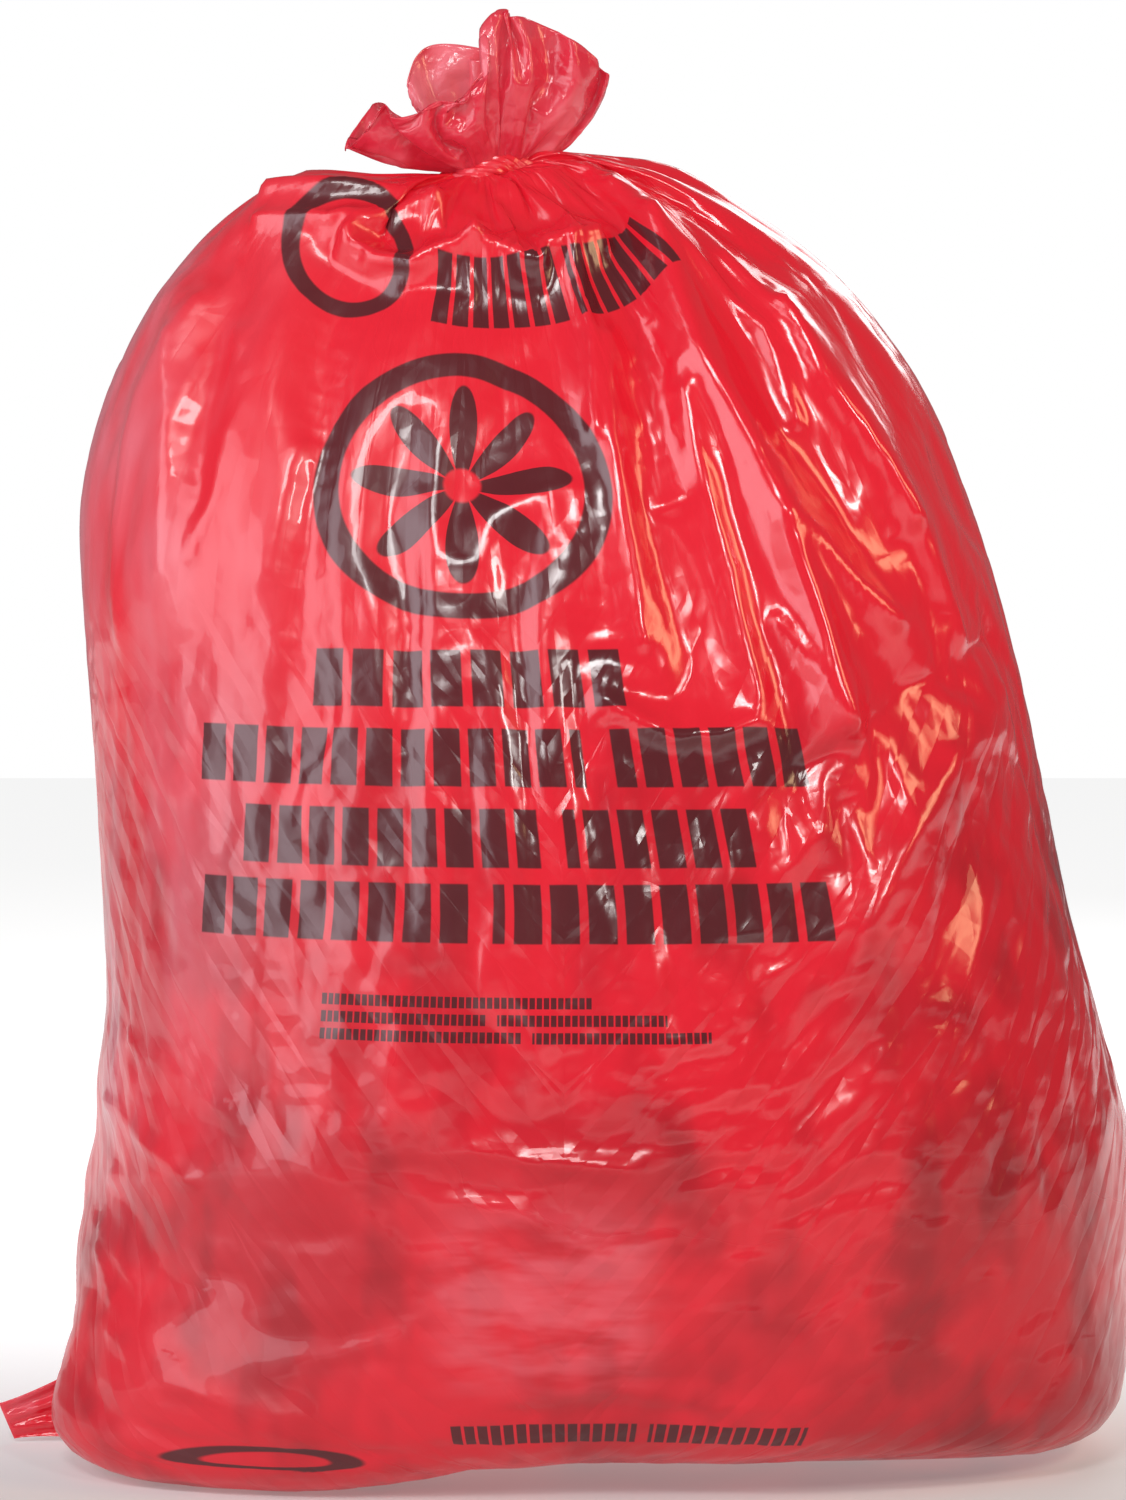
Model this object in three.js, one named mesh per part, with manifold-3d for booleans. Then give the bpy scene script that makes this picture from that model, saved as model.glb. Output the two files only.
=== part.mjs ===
// A filled medical waste bag: one red film bag, 30 x 43 inches (762 x 1092 mm) when flat, tied in
// its own neck with an overhand knot, and the loose waste that fills the lower two thirds of it.
// Millimetres, +Z up, the printed front facing -Y. The origin is under the middle of the bag's
// outer box, on the floor.
import * as THREE from "three";
import { mergeVertices } from "three/addons/utils/BufferGeometryUtils.js";
import Module from "manifold-3d";

const wasm = await Module();
wasm.setup();

// Film: the real one is about 0.05 mm thick, and stands here as a stiffer wall.
const filmWall = 2;
const fillGap = 0.4;

// Neck, where the film is gathered into the knot.
const neckX = -39;
const neckY = -18;
const neckHeight = 668;
const neckRadius = 15;
const neckBore = 3;
const neckBoreDepth = 24;
const leanStart = 0.55;

// Knot: the loop of gathered film around the neck.
const knotRadius = 15;
const knotTube = 8.5;
const knotTilt = 0.3;

// Gathers that run from the knot down over the shoulders. The start and end of their rise and how
// much they ease off at the neck are shares of the way up the outline and of their depth.
const pleatCount = 14;
const pleatDepth = 6;
const pleatSway = 1.3;
const pleatStart = 0.6;
const pleatFull = 0.9;
const pleatEase = 0.6;

// Tuft: the free mouth of the bag, spread above the knot. It is pinched just above the knot, and
// its ruffles hang outwards.
const tuftRuffles = 11;
const ruffleDepth = 6;
const tuftPinch = 0.35;
const tuftFlare = 1.25;
const tuftDroop = 0.3;
const cupRise = 14;

// Ear: the corner of the bottom seal, which sticks out at the left.
const earReach = 48;
const earRoot = 12;
const earRootHeight = 40;
const earTipHeight = 16;
const earTipSlant = 5;
const earLift = 1.5;
const earThickness = 2.4;
const earForward = 12;

// Waste: how far up the outline it fills the bag, and how much higher it is heaped in the middle.
const heapShoulder = 0.52;
const heapRise = 46;
const heapCrown = 0.9;

// How square the plan of the bag is, over most of its height and where it meets the floor. 2 is an
// ellipse. The change is over by a share of the way up the outline.
const squareness = 2.25;
const floorSquareness = 3.4;
const floorShare = 0.22;

// At the front, the edge of the underside is lifted off the floor. Seen from the front, the lift
// grows from one X to another, and it is gone by a height.
const edgeLift = 17;
const edgeLiftStart = -150;
const edgeLiftFull = 0;
const edgeLiftHeight = 120;

// The bag's outline in four directions. Each entry is [reach, height]: reach is the distance out
// from the axis, along X for left and right and along Y for front and back. A belly's heights are
// above the floor, and a shoulder's are above the foot of the neck.
const leftBelly = [[232, 0], [252, 18], [257, 72], [246, 150], [240, 240], [243, 330]];
const leftShoulder = [
  [251, -248], [253, -170], [229, -106], [187, -54], [143, -16], [105, 0], [57, 2],
];
const rightBelly = [[252, 0], [287, 13], [297, 62], [297, 150], [279, 240], [257, 330]];
const rightShoulder = [
  [238, -253], [212, -168], [190, -106], [156, -54], [121, -18], [80, 9], [45, 13],
];
const frontBelly = [[160, 0], [182, 22], [197, 76], [204, 150], [200, 240], [188, 330]];
const frontShoulder = [
  [170, -253], [148, -172], [121, -112], [92, -66], [68, -34], [46, -12], [28, -1],
];
const backBelly = [[142, 0], [168, 22], [186, 76], [194, 150], [190, 240], [178, 330]];
const backShoulder = [
  [162, -253], [142, -172], [121, -108], [99, -56], [76, -22], [54, -2], [32, 6],
];

// Long folds that stand out from the film: how far, how far from their line they are half as
// high, and the line that each follows as [x, height], seen from the front.
const frontFolds = [
  { rise: 9, half: 16, line: [[44, 640], [69, 571], [99, 515], [123, 453], [142, 380]] },
  { rise: 8, half: 16, line: [[111, 599], [130, 559], [155, 525], [180, 478]] },
  { rise: 7, half: 16, line: [[120, 485], [143, 460], [178, 430]] },
  { rise: 8, half: 17, line: [[212, 388], [192, 360], [170, 325], [150, 280]] },
  { rise: 9, half: 16, line: [[-190, 600], [-202, 540], [-204, 455]] },
  { rise: 7, half: 15, line: [[-148, 584], [-158, 520], [-166, 460]] },
  { rise: 8, half: 13, line: [[-151, 652], [-120, 661], [-86, 657], [-65, 653]] },
  { rise: 8, half: 12, line: [[-110, 640], [-76, 622], [-47, 628], [-17, 622], [13, 640]] },
  { rise: 6, half: 17, line: [[-237, 189], [-187, 159], [-135, 168]] },
  { rise: 8, half: 17, line: [[-243, 115], [-228, 92], [-195, 70], [-168, 54], [-140, 42]] },
];
const backFolds = [
  { rise: 8, half: 17, line: [[-150, 610], [-190, 540], [-205, 440], [-210, 360]] },
  { rise: 7, half: 16, line: [[-80, 620], [-110, 540], [-125, 450]] },
  { rise: 7, half: 16, line: [[-10, 610], [0, 530], [-15, 440]] },
  { rise: 8, half: 17, line: [[70, 620], [110, 540], [150, 450], [190, 380]] },
  { rise: 6, half: 17, line: [[230, 200], [180, 160], [120, 150]] },
  { rise: 7, half: 17, line: [[-240, 130], [-190, 80], [-120, 55]] },
];

// The rim of the open mouth, anticlockwise from the right as seen from above: [x, y, z] from the neck.
const tuftRim = [
  [65, 8, 64], [52, 26, 80], [22, 34, 91], [-8, 30, 88], [-36, 26, 74], [-62, 12, 40],
  [-73, -10, 20], [-56, -34, 22], [-22, -44, 34], [20, -38, 44], [50, -20, 50],
];

const bagSegments = 92;
const bagRings = 34;
const cavitySegments = 32;
const cavityRings = 14;
const tuftSegments = 66;
const tuftRings = 6;

const { lerp, smoothstep } = THREE.MathUtils;
const power = (value, exponent) => Math.sign(value) * Math.abs(value) ** exponent;

// One side of the bag, from the edge of its resting face up to the neck.
function outlineOf(belly, shoulder) {
  const low = belly.map(([reach, height]) => new THREE.Vector2(reach, height));
  const high = shoulder.map(([reach, height]) => new THREE.Vector2(reach, neckHeight + height));
  return new THREE.SplineCurve([...low, ...high]);
}

const left = outlineOf(leftBelly, leftShoulder);
const right = outlineOf(rightBelly, rightShoulder);
const front = outlineOf(frontBelly, frontShoulder);
const back = outlineOf(backBelly, backShoulder);

// The upright line that a ring is measured from. It leans over to the neck near the top.
function axisAt(t) {
  const lean = smoothstep(t, leanStart, 1);
  return new THREE.Vector2(neckX * lean, neckY * lean);
}

// A point of the smooth bag at share t of the way up the outlines, at an angle around the bag.
function bagPoint(t, angle) {
  const c = Math.cos(angle);
  const s = Math.sin(angle);
  const side = (c >= 0 ? right : left).getPoint(t);
  const face = (s >= 0 ? back : front).getPoint(t);
  const axis = axisAt(t);
  const square = lerp(floorSquareness, squareness, smoothstep(t, 0, floorShare));
  const point = new THREE.Vector3(
    axis.x + side.x * power(c, 2 / square),
    axis.y + face.x * power(s, 2 / square),
    side.y * c * c + face.y * s * s,
  );
  const toRight = smoothstep(point.x, edgeLiftStart, edgeLiftFull);
  const low = 1 - smoothstep(point.z, 0, edgeLiftHeight);
  point.z += edgeLift * Math.max(-s, 0) * toRight * low;
  return point;
}

// The bag's outward normal, from nearby points.
function bagNormal(t, angle) {
  const step = 1e-3;
  const low = Math.max(t - step, 0);
  const high = Math.min(t + step, 1);
  const along = bagPoint(high, angle).sub(bagPoint(low, angle));
  const around = bagPoint(t, angle + step).sub(bagPoint(t, angle - step));
  return around.cross(along).normalize();
}

// The bag moved inwards by a distance.
const insetPoint = (t, angle, inset) => bagPoint(t, angle).addScaledVector(bagNormal(t, angle), -inset);

// A closed surface through rings of points, with a fan at each end.
function loft(rings, bottom, top) {
  const count = rings[0].length;
  const points = [...rings.flat(), bottom, top];
  const faces = [];
  const last = (rings.length - 1) * count;
  for (let j = 0; j < count; j++) {
    const next = (j + 1) % count;
    faces.push(points.length - 2, next, j);
    faces.push(points.length - 1, last + j, last + next);
    for (let i = 0; i < rings.length - 1; i++) {
      const a = i * count;
      const b = a + count;
      faces.push(a + j, a + next, b + next, a + j, b + next, b + j);
    }
  }
  const geometry = new THREE.BufferGeometry().setFromPoints(points);
  geometry.setIndex(faces);
  return geometry;
}

// Rings of points from a function of a share of the way up and an angle.
function ringsOf(rings, segments, point) {
  return Array.from({ length: rings + 1 }, (_, i) =>
    Array.from({ length: segments }, (_, j) => point(i / rings, (2 * Math.PI * j) / segments)),
  );
}

// A manifold-3d solid from a closed geometry.
function solidOf(geometry) {
  const bare = geometry.clone();
  bare.deleteAttribute("normal");
  bare.deleteAttribute("uv");
  const merged = mergeVertices(bare, 1e-4);
  return new wasm.Manifold(new wasm.Mesh({
    numProp: 3,
    vertProperties: merged.attributes.position.array,
    triVerts: new Uint32Array(merged.index.array),
  }));
}

// A geometry from a manifold-3d solid.
function geometryOf(solid) {
  const mesh = solid.getMesh();
  const geometry = new THREE.BufferGeometry();
  geometry.setAttribute("position", new THREE.BufferAttribute(new Float32Array(mesh.vertProperties), 3));
  geometry.setIndex(new THREE.BufferAttribute(new Uint32Array(mesh.triVerts), 1));
  geometry.computeVertexNormals();
  return geometry;
}

// How far the long folds stand out at a point of the film.
function foldRise(point, folds) {
  const seen = new THREE.Vector3(point.x, point.z, 0);
  const rises = folds.flatMap(({ rise, half, line }) => line.slice(1).map((end, k) => {
    const stretch = new THREE.Line3(new THREE.Vector3(...line[k], 0), new THREE.Vector3(...end, 0));
    const near = stretch.closestPointToPoint(seen, true, new THREE.Vector3());
    return rise * (1 - smoothstep(near.distanceTo(seen), 0, 2 * half));
  }));
  return Math.max(...rises);
}

// The film's outside, with its long folds, and gathers that fade out below the shoulders.
function bagOutside() {
  const rings = ringsOf(bagRings, bagSegments, (t, angle) => {
    const gathered = smoothstep(t, pleatStart, pleatFull) * (1 - pleatEase * smoothstep(t, pleatFull, 1));
    const wave = 0.5 + 0.5 * Math.cos(pleatCount * angle + pleatSway * Math.sin(2 * angle));
    const point = bagPoint(t, angle);
    const folded = foldRise(point, Math.sin(angle) < 0 ? frontFolds : backFolds);
    const rise = Math.max(pleatDepth * gathered * wave, folded);
    return point.addScaledVector(bagNormal(t, angle), rise);
  });
  const neckRing = rings.at(-1).map((_, j) => neckPoint((2 * Math.PI * j) / bagSegments, 0));
  return loft([...rings, neckRing], new THREE.Vector3(0, 0, 0), new THREE.Vector3(neckX, neckY, neckHeight));
}

// A point on the gathered neck, some way above its foot.
function neckPoint(angle, rise) {
  return new THREE.Vector3(
    neckX + neckRadius * Math.cos(angle),
    neckY + neckRadius * Math.sin(angle),
    neckHeight + rise,
  );
}

// The space inside the film, inset from the outside by the wall.
function cavity() {
  const rings = ringsOf(cavityRings, cavitySegments, (t, angle) => insetPoint(t, angle, filmWall));
  const peak = new THREE.Vector3(neckX, neckY, neckHeight - filmWall);
  return loft(rings, new THREE.Vector3(0, 0, filmWall), peak);
}

// The knot's loop, tilted as it lies around the neck.
function knotLoop() {
  const loop = new THREE.TorusGeometry(knotRadius, knotTube, 8, 20);
  loop.rotateX(knotTilt);
  loop.rotateY(-knotTilt / 2);
  loop.translate(neckX, neckY, neckHeight + knotTube);
  return loop;
}

// The free mouth of the bag: a ruffled sleeve from the knot up to the rim.
function tuft() {
  const corners = tuftRim.map((p) => new THREE.Vector3(...p));
  const rim = new THREE.CatmullRomCurve3(corners, true);
  const foot = new THREE.Vector3(neckX, neckY, neckHeight);
  const wall = (side) => (t, angle) => {
    const neck = neckPoint(angle, knotTube * 2 * t).sub(foot).multiplyScalar(1 - tuftPinch * t);
    const mouth = rim.getPoint(angle / (2 * Math.PI));
    const point = neck.lerp(mouth, t ** tuftFlare);
    const droop = -tuftDroop * Math.hypot(point.x, point.y);
    const outward = new THREE.Vector3(point.x, point.y, droop).normalize();
    const ruffle = ruffleDepth * t * Math.cos(tuftRuffles * angle);
    return point.addScaledVector(outward, ruffle + (side * filmWall) / 2).add(foot);
  };
  const outer = ringsOf(tuftRings, tuftSegments, wall(1));
  const inner = ringsOf(tuftRings, tuftSegments, wall(-1)).slice(1).reverse();
  const cupFloor = foot.clone().setZ(neckHeight + cupRise);
  return loft([...outer, ...inner], foot, cupFloor);
}

// The ear: a flat tab in the plane of the seal, with its root sunk into the film.
function ear() {
  const side = -leftBelly[1][0];
  const outline = new THREE.Shape([
    new THREE.Vector2(side - earReach + earTipSlant, earLift),
    new THREE.Vector2(side + earRoot, earLift + earTipSlant),
    new THREE.Vector2(side + earRoot, earLift + earRootHeight + earTipSlant),
    new THREE.Vector2(side - earReach, earLift + earTipHeight),
  ]);
  const tab = new THREE.ExtrudeGeometry(outline, { depth: earThickness, bevelEnabled: false });
  tab.rotateX(Math.PI / 2);
  tab.translate(0, -earForward, 0);
  return tab;
}

// The gap through the middle of the gathered neck, from the bag up into the tuft.
function neckGap() {
  const above = knotTube * 2;
  const gap = new THREE.CylinderGeometry(neckBore, neckBore, neckBoreDepth + above, 12);
  gap.rotateX(Math.PI / 2);
  gap.translate(neckX, neckY, neckHeight + (above - neckBoreDepth) / 2);
  return gap;
}

// The whole film: bag, knot, tuft and ear in one piece, hollow inside.
function filmBag() {
  return [knotLoop(), tuft(), ear()]
    .map(solidOf)
    .reduce((film, part) => film.add(part), solidOf(bagOutside()))
    .subtract(solidOf(cavity()))
    .subtract(solidOf(neckGap()));
}

// The waste: it fills the bag up to its shoulder, and is heaped in the middle.
function wasteHeap() {
  const inset = filmWall + fillGap;
  const axis = axisAt(heapShoulder);
  const rings = ringsOf(cavityRings, cavitySegments, (share, angle) => {
    if (share <= heapShoulder) return insetPoint(share, angle, inset);
    const edge = insetPoint(heapShoulder, angle, inset);
    const inward = (share - heapShoulder) / (1 - heapShoulder);
    return new THREE.Vector3(
      lerp(edge.x, axis.x, inward * heapCrown),
      lerp(edge.y, axis.y, inward * heapCrown),
      edge.z + heapRise * Math.sin((inward * Math.PI) / 2),
    );
  });
  const top = left.getPoint(heapShoulder).y + heapRise;
  return loft(rings, new THREE.Vector3(0, 0, inset), new THREE.Vector3(axis.x, axis.y, top));
}

const filmRed = new THREE.MeshStandardMaterial({ color: 0xd62f3f, roughness: 0.28, metalness: 0 });
const wasteRed = new THREE.MeshStandardMaterial({ color: 0xa8323a, roughness: 0.8, metalness: 0 });

const film = new THREE.Mesh(geometryOf(filmBag()), filmRed);
film.name = "film_bag";
const waste = new THREE.Mesh(wasteHeap(), wasteRed);
waste.name = "waste_fill";

// The outer box is centred over the origin.
const bag = new THREE.Group();
bag.add(film, waste);
const box = new THREE.Box3().setFromObject(bag);
const middle = box.getCenter(new THREE.Vector3());
bag.position.set(-middle.x, -middle.y, 0);

export default bag;
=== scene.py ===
# %% [markdown]
# # A tied bag of waste in red film
#
# The object is one large polythene bag. Its bottom is sealed flat, waste fills the lower two
# thirds, and the top is gathered, knotted in its own neck and left as a ruffled tuft. What makes
# it read as film and not as rubber is how the spare width behaves: it can't stretch or shrink,
# so it buckles into folds. The lesson builds that first and the finish second.
#
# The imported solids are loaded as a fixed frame. Everything below is measured from them.

# %% Load the frame
import math

import bpy
import numpy as np
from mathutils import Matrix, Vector
from mathutils.bvhtree import BVHTree


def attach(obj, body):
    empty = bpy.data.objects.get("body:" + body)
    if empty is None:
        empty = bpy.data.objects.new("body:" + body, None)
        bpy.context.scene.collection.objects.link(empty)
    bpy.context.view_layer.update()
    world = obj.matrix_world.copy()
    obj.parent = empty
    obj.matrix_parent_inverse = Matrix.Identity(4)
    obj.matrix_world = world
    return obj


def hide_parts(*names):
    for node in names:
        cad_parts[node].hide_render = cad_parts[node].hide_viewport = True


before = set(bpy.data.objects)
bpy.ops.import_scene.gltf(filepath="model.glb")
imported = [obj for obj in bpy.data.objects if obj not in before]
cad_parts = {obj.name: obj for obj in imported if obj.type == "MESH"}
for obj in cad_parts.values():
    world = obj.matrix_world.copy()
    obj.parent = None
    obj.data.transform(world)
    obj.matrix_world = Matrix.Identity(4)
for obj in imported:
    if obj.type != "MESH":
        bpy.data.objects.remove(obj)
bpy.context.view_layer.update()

MM = 0.001
film_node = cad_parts["film_bag"]

# %% [markdown]
# ## Camera
#
# The picture was taken from in front, a little above the middle of the bag, looking slightly
# down. The bag's own width sets the scale of the picture, and the distance sets how strong the
# perspective is: near the floor we look down on the bag, and near the knot we look up at it.
# The camera comes before the pieces, so that every later step can be judged through it.

# %% Camera
PICTURE = (1126, 1500)
PICTURE_SCALE = 0.53 * MM
CAMERA_DISTANCE = 2.4
CAMERA_TILT = math.radians(3)
AIM = Vector((0, 5 * MM, 366.5 * MM))

camera = bpy.data.objects.new("camera", bpy.data.cameras.new("camera"))
bpy.context.scene.collection.objects.link(camera)
bpy.context.scene.camera = camera
toward_lens = Vector((0, -math.cos(CAMERA_TILT), math.sin(CAMERA_TILT)))
camera.location = AIM + CAMERA_DISTANCE * toward_lens
camera.rotation_euler = (math.pi / 2 - CAMERA_TILT, 0, 0)
camera.data.sensor_width = 36
camera.data.lens = camera.data.sensor_width * CAMERA_DISTANCE / (PICTURE_SCALE * PICTURE[1])
print("camera at", [round(c, 3) for c in camera.location], "lens", round(camera.data.lens, 1))

# %% [markdown]
# ## The bag's smooth form
#
# Folds need something to lie on. The solid's inner wall is a smooth, closed form with no folds
# and no ear, so rays cast outwards from inside the bag find it everywhere. The rays fan out from
# straight down to straight at the knot, and each row of hits is one ring round the bag. Later, a
# second set of rays finds the long folds on the outside.
#
# The columns are then spaced evenly along the widest ring. Each column stands for the same width
# of film, as a stripe printed on the flat tube would, and this is what lets us say later how much
# spare film each ring has.

# %% Cast the rays
COLUMNS = 352
ROWS = 257
INSIDE = Vector((0, 0, 300 * MM))
NECK = Vector((-39 * MM, -13 * MM, 668 * MM))
NECK_RING = 17 * MM

node_tree = BVHTree.FromPolygons(
    [v.co for v in film_node.data.vertices],
    [p.vertices for p in film_node.data.polygons],
)
to_neck = (NECK - INSIDE).normalized()


def cast(polar, azimuth):
    """Where the ray at these angles meets the inside of the film. Polar 0 is down, pi is up."""
    pole = Vector((0, 0, 1)) if polar < math.pi / 2 else to_neck
    flat = Vector((math.cos(azimuth), math.sin(azimuth), 0)) * math.sin(polar)
    ray = (flat - pole * math.cos(polar)).normalized()
    hit = node_tree.ray_cast(INSIDE, ray)[0]
    return hit if hit else INSIDE


def even(points, count, closed):
    """The same line again, with points evenly spaced along it."""
    line = np.vstack([points, points[:1]]) if closed else points
    along = np.concatenate([[0], np.cumsum(np.linalg.norm(np.diff(line, axis=0), axis=1))])
    wanted = np.linspace(0, along[-1], count, endpoint=not closed)
    return np.stack([np.interp(wanted, along, line[:, k]) for k in range(3)], axis=1)


widest = math.radians(62)
turns = np.linspace(0, 2 * math.pi, 720, endpoint=False)
girth_ring = even(np.array([cast(widest, a) for a in turns]), COLUMNS, closed=True)
azimuths = np.arctan2(girth_ring[:, 1], girth_ring[:, 0])

last_polar = math.pi - math.atan(NECK_RING / (NECK - INSIDE).length)
polars = np.linspace(math.radians(1), last_polar, 150)
hits = np.array([[cast(p, a) for p in polars] for a in azimuths])
print("rays", hits.shape[0] * hits.shape[1])

# %% [markdown]
# Rows are spread evenly from the bottom edge up to the neck, and a few rows are enough under the
# bag, where nothing shows. The bottom edge is where the lower rays reach furthest.

# %% Lay out the rows
UNDERSIDE_ROWS = 14
EDGE_POLAR = math.radians(60)


def rows_of(column):
    """One column of hits, with close rows on the side and the top and a few underneath."""
    low_hits = column[: int(np.argmax(polars > EDGE_POLAR))]
    foot = int(np.argmax(np.linalg.norm(low_hits - np.array(INSIDE), axis=1)))
    under = even(column[: foot + 1], UNDERSIDE_ROWS + 1, closed=False)[:-1]
    side = even(column[foot:], ROWS - UNDERSIDE_ROWS, closed=False)
    return np.vstack([under, side])


smooth = np.stack([rows_of(column) for column in hits], axis=1)


def blurred(grid, times, rows=True):
    """A grid of points, evened out with its neighbours. Columns wrap round the bag."""
    for _ in range(times):
        grid = (np.roll(grid, 1, 1) + np.roll(grid, -1, 1) + 2 * grid) / 4
        if rows:
            inner = (grid[:-2] + grid[2:] + 2 * grid[1:-1]) / 4
            grid = np.concatenate([grid[:1], inner, grid[-1:]])
    return grid


def normals_of(grid):
    """The outward normal at every point of a grid that wraps round."""
    round_ = np.roll(grid, -1, 1) - np.roll(grid, 1, 1)
    up = np.concatenate([grid[1:2] - grid[:1], grid[2:] - grid[:-2], grid[-1:] - grid[-2:-1]])
    n = np.cross(round_, up)
    return n / np.maximum(np.linalg.norm(n, axis=2, keepdims=True), 1e-12)


# %% Move out to the long folds
FILM_WALL = 2 * MM
FOLD_REACH = 20 * MM
FOLDS_END = 0.9


def wall_at(point, normal):
    """How far the outer side of the film lies from a point near its inner side."""
    start, ray = Vector(point - 5 * MM * normal), Vector(normal)
    hit, facing, _, _ = node_tree.ray_cast(start, ray, FOLD_REACH)
    while hit and facing.dot(ray) < 0:
        hit, facing, _, _ = node_tree.ray_cast(hit + 0.01 * MM * ray, ray, FOLD_REACH)
    return (hit - Vector(point)).dot(ray) if hit else FILM_WALL


def smoothstep(low, high, value):
    t = np.clip((value - low) / (high - low), 0, 1)
    return t * t * (3 - 2 * t)


share_up = np.arange(ROWS) / (ROWS - 1)
smooth = blurred(smooth, 16)
inner_normals = normals_of(smooth)
walls = np.array([
    [wall_at(p, n) for p, n in zip(points, normals)]
    for points, normals in zip(smooth, inner_normals)
])
walls += (FILM_WALL - walls) * smoothstep(FOLDS_END, FOLDS_END + 0.06, share_up)[:, None]
smooth = blurred(smooth + walls[:, :, None] * inner_normals, 8)
print("rings", smooth.shape, "widest", round(float(np.ptp(smooth[:, :, 0])), 3), "m")
print("folds of the solid up to", round(float(walls.max() / MM), 1), "mm")

# %% [markdown]
# ## Lumps and forms under the film
#
# Loose waste isn't smooth. Broad, shallow waves stand for it in the lower part, and a packet
# presses against the front.

# %% Lumps
FILL_TOP = 400 * MM
LUMP_SIZE = 95 * MM
LUMP_HEIGHT = 3 * MM
PACKET_CENTRE = (12 * MM, 118 * MM)
PACKET_HALF = (27 * MM, 56 * MM)
PACKET_RISE = 1.5 * MM


def waves(points, size, seed, count=28):
    """Smooth random values, mostly between -1 and 1, that change over about this size."""
    rng = np.random.default_rng(seed)
    total = np.zeros(points.shape[:-1])
    for _ in range(count):
        direction = rng.normal(size=3)
        direction *= 2 * math.pi / (size * rng.uniform(1.3, 2.8) * np.linalg.norm(direction))
        total += np.cos(points @ direction + rng.uniform(0, 2 * math.pi))
    return total / math.sqrt(count)


outward = normals_of(smooth)
height = smooth[:, :, 2]
lumps = LUMP_HEIGHT * waves(smooth, LUMP_SIZE, seed=11)
lumps *= smoothstep(0, 60 * MM, height) * (1 - smoothstep(0.7 * FILL_TOP, 1.1 * FILL_TOP, height))
in_packet = [
    1 - smoothstep(half, half + 12 * MM, np.abs(smooth[:, :, axis] - centre))
    for axis, centre, half in zip((0, 2), PACKET_CENTRE, PACKET_HALF)
]
packet = PACKET_RISE * in_packet[0] * in_packet[1] * (outward[:, :, 1] < 0)
print("lumps", round(float(lumps.min() / MM), 1), "to", round(float(lumps.max() / MM), 1), "mm")

# %% [markdown]
# ## Drawn folds
#
# The solid already has the longest folds, with soft crests. Their sharp crests, and the other
# folds that make this bag recognizable, are drawn over the picture as lines of pixels. Each point
# is sent through the camera on to the smooth form, and the form is raised, or lowered, along the
# line. The relaxation that follows then bends real film over them and adds all the smaller folds
# by itself.

# %% Sleeve faces and rays through the picture
def sleeve_faces(rows, columns):
    """Quads between the rings of a sleeve, facing out."""
    row, column = np.mgrid[0 : rows - 1, 0:columns]
    right = (column + 1) % columns
    corners = [row * columns + column, row * columns + right]
    corners += [corners[1] + columns, corners[0] + columns]
    return np.stack(corners, axis=2).reshape(-1, 4)


def closed_faces(rows, columns):
    """The faces of a sleeve, and a fan at each end to one point that comes after its rings."""
    count = rows * columns
    last = count - columns
    turn = np.arange(columns)
    following = np.roll(turn, -1)
    below = [(count, int(b), int(a)) for a, b in zip(turn, following)]
    above = [(count + 1, int(last + a), int(last + b)) for a, b in zip(turn, following)]
    return sleeve_faces(rows, columns).tolist() + below + above


form_tree = BVHTree.FromPolygons(
    smooth.reshape(-1, 3).tolist(), sleeve_faces(ROWS, COLUMNS).tolist()
)


def on_form(pixel):
    """The point of the smooth form that shows at this pixel, or the nearest one beside it."""
    focal = CAMERA_DISTANCE / PICTURE_SCALE
    ray = Vector((pixel[0] - PICTURE[0] / 2, PICTURE[1] / 2 - pixel[1], -focal)).normalized()
    ray.rotate(camera.rotation_euler)
    hit = form_tree.ray_cast(camera.location, ray)[0]
    if hit is None:
        hit = form_tree.find_nearest(camera.location + CAMERA_DISTANCE * ray)[0]
    return np.array(hit)


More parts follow.
